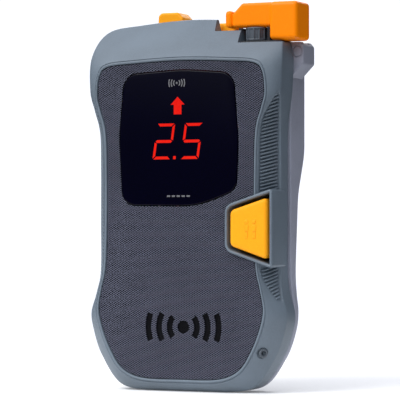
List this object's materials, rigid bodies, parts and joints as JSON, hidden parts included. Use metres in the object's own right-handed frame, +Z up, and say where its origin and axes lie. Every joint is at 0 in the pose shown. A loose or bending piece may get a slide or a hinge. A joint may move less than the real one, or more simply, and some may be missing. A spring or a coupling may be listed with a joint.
{
  "type": "avalanche transceiver",
  "caption": "Hand-held avalanche transceiver with a waisted case, display window, side option button, top mode lever with lock, and hinged battery door.",
  "frame": {"origin": "on the flat foot, on the case's centre line, 10 mm behind the front plane", "axes": "+X to the right of the display as its user sees it, +Y from the display towards the back, +Z up towards the lever"},
  "size_m": [0.0693, 0.0278, 0.1183],
  "materials": {
    "case_plastic": "fine-textured blue-grey moulded plastic",
    "back_plastic": "fine-textured dark grey moulded plastic",
    "panel_plastic": "moulded diamond mesh, dark grey with lighter ridges",
    "window_plastic": "clear-coated gloss black",
    "orange_plastic": "satin orange moulded plastic",
    "button_plastic": "satin yellow-orange moulded plastic",
    "dark_plastic": "matte black engineering plastic",
    "display_red": "red light-emitting segments in a dark module",
    "steel": "plated steel",
    "brass": "turned brass",
    "rubber": "matte black silicone rubber",
    "circuit_board": "solder-masked glass-fibre laminate",
    "ferrite": "fired dark ferrite",
    "copper_wire": "enamelled copper winding",
    "cell_sleeve": "plain printed sleeve over a metal can"
  },
  "bodies": {
    "housing": {"front_shell": "case_plastic", "back_shell": "back_plastic", "front_panel": "panel_plastic", "display_window": "window_plastic", "display_mask": "dark_plastic", "port_ring": "dark_plastic", "lever_bearing": "dark_plastic", "lever_sensor": "dark_plastic", "switch_base": "dark_plastic", "processor_chip": "dark_plastic", "speaker": "dark_plastic", "led_display": "display_red", "case_screw_1": "steel", "case_screw_2": "steel", "case_screw_3": "steel", "case_screw_4": "steel", "case_screw_5": "steel", "leash_pin": "steel", "lock_spring": "steel", "battery_spring_1": "steel", "battery_spring_2": "steel", "battery_spring_3": "steel", "left_contact_plate": "steel", "right_contact_plate": "steel", "door_insert": "brass", "case_seal": "rubber", "button_boot": "rubber", "shaft_seal": "rubber", "door_seal": "rubber", "main_board": "circuit_board", "antenna_x_core": "ferrite", "antenna_z_core": "ferrite", "antenna_x_coil": "copper_wire", "antenna_z_coil": "copper_wire", "antenna_y_coil": "copper_wire", "battery_1": "cell_sleeve", "battery_2": "cell_sleeve", "battery_3": "cell_sleeve"},
    "lever": {"mode_lever": "orange_plastic", "lever_hub": "dark_plastic", "lever_shaft": "steel", "lever_magnet": "steel", "shaft_clip": "steel"},
    "lock": {"lock_slider": "orange_plastic"},
    "button": {"option_button": "button_plastic"},
    "plunger": {"switch_plunger": "dark_plastic"},
    "door": {"battery_door": "back_plastic"},
    "door_fastener": {"door_screw": "steel"}
  },
  "joints": [
    {"name": "mode_lever_turn", "type": "hinge", "parent": "housing", "child": "lever", "pos_m": [0.0213, 0.0005, 0.111], "axis": [0, 0, 1], "range_deg": [0, 90]},
    {"name": "lock_slide", "type": "slide", "parent": "housing", "child": "lock", "axis": [-1, 0, 0], "range_m": [0, 0.0025], "stiffness_N_per_m": 600, "springref_m": -0.001, "deforming": ["lock_spring"]},
    {"name": "option_button_press", "type": "slide", "parent": "housing", "child": "button", "axis": [0, 1, 0], "range_m": [0, 0.0008], "stiffness_N_per_m": 1500, "springref_m": -0.0004},
    {"name": "switch_plunger_press", "type": "slide", "parent": "housing", "child": "plunger", "axis": [0, 1, 0], "range_m": [0, 0.0008]},
    {"name": "battery_door_hinge", "type": "hinge", "parent": "housing", "child": "door", "pos_m": [0, 0.01535, 0.0739], "axis": [-1, 0, 0], "range_deg": [0, 100]},
    {"name": "door_screw_turn", "type": "hinge", "parent": "door", "child": "door_fastener", "pos_m": [0, 0.015, 0.1076], "axis": [0, 1, 0], "range_deg": [0, 90]}
  ],
  "couplings": [
    {"joint": "switch_plunger_press", "follows": "option_button_press", "ratio": 1}
  ]
}
